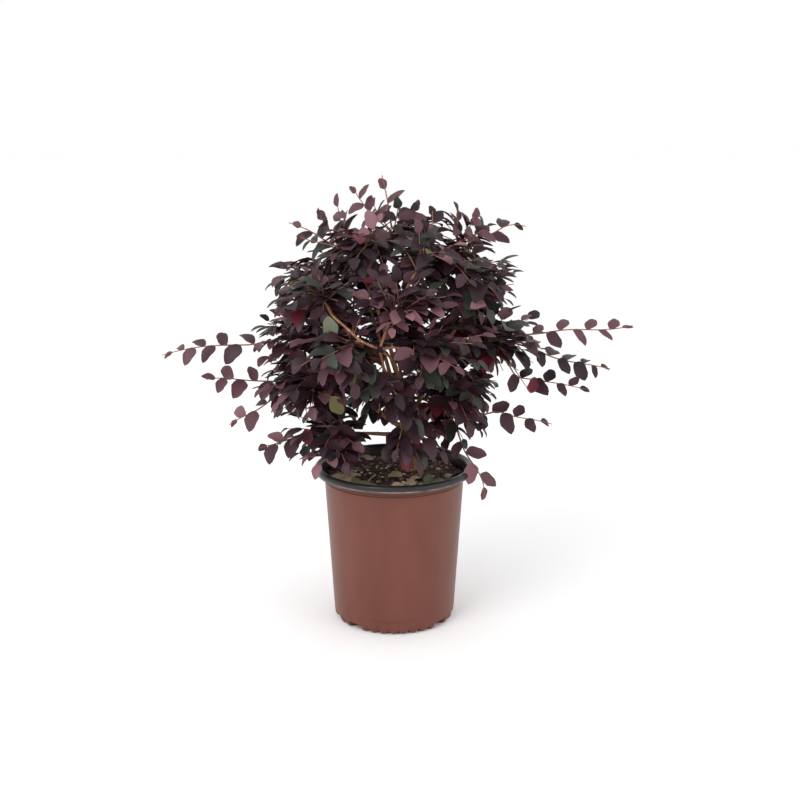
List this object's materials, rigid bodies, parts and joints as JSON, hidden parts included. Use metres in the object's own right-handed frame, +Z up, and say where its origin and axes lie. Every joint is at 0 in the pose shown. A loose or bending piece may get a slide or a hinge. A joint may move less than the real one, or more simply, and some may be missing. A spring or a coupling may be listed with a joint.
{
  "type": "potted fringe flower shrub",
  "caption": "Bushy evergreen fringe flower shrub with small dark purple leaves, growing in a round brown plastic nursery pot filled with bark mix.",
  "frame": {"origin": "centre of the pot's flat underside", "axes": "+Z up, -Y towards the front, +X to the right seen from the front"},
  "size_m": [0.6577, 0.4723, 0.6323],
  "materials": {
    "pot_plastic": "satin terracotta-brown plastic with a black rim",
    "potting_mix": "moist crumbly bark mix with pale grains",
    "bark": "rough brown bark",
    "bough_bark": "smoother orange-brown bark",
    "leaf_mass": "matt dark purple leaves"
  },
  "bodies": {
    "root": {"bough_back_left": "bough_bark", "bough_back_low": "bough_bark", "bough_back_right": "bough_bark", "bough_front_left_bare": "bough_bark", "bough_front_right": "bough_bark", "bough_leader": "bough_bark", "bough_left": "bough_bark", "bough_left_low": "bough_bark", "bough_right_high": "bough_bark", "bough_right_low": "bough_bark", "leaves_high_1": "leaf_mass", "leaves_high_2": "leaf_mass", "leaves_high_3": "leaf_mass", "leaves_high_4": "leaf_mass", "leaves_high_5": "leaf_mass", "leaves_high_6": "leaf_mass", "leaves_high_7": "leaf_mass", "leaves_lower_1": "leaf_mass", "leaves_lower_2": "leaf_mass", "leaves_lower_3": "leaf_mass", "leaves_lower_4": "leaf_mass", "leaves_lower_5": "leaf_mass", "leaves_lower_6": "leaf_mass", "leaves_lower_7": "leaf_mass", "leaves_middle_1": "leaf_mass", "leaves_middle_2": "leaf_mass", "leaves_middle_3": "leaf_mass", "leaves_middle_4": "leaf_mass", "leaves_middle_5": "leaf_mass", "leaves_middle_6": "leaf_mass", "leaves_middle_7": "leaf_mass", "leaves_skirt_1": "leaf_mass", "leaves_skirt_2": "leaf_mass", "leaves_skirt_3": "leaf_mass", "leaves_skirt_4": "leaf_mass", "leaves_skirt_5": "leaf_mass", "leaves_skirt_6": "leaf_mass", "leaves_skirt_7": "leaf_mass", "leaves_tip": "leaf_mass", "leaves_top_1": "leaf_mass", "leaves_top_2": "leaf_mass", "leaves_top_3": "leaf_mass", "leaves_top_4": "leaf_mass", "leaves_top_5": "leaf_mass", "nursery_pot": "pot_plastic", "soil": "potting_mix", "spray_back": "leaf_mass", "spray_left_foot": "leaf_mass", "spray_left_long": "leaf_mass", "spray_left_low": "leaf_mass", "spray_left_mid": "leaf_mass", "spray_over_rim": "leaf_mass", "spray_right_droop": "leaf_mass", "spray_right_long": "leaf_mass", "spray_right_low": "leaf_mass", "spray_right_mid": "leaf_mass", "spray_top": "leaf_mass", "spray_top_left": "leaf_mass", "spray_top_right": "leaf_mass", "trunk": "bark"}
  },
  "joints": []
}
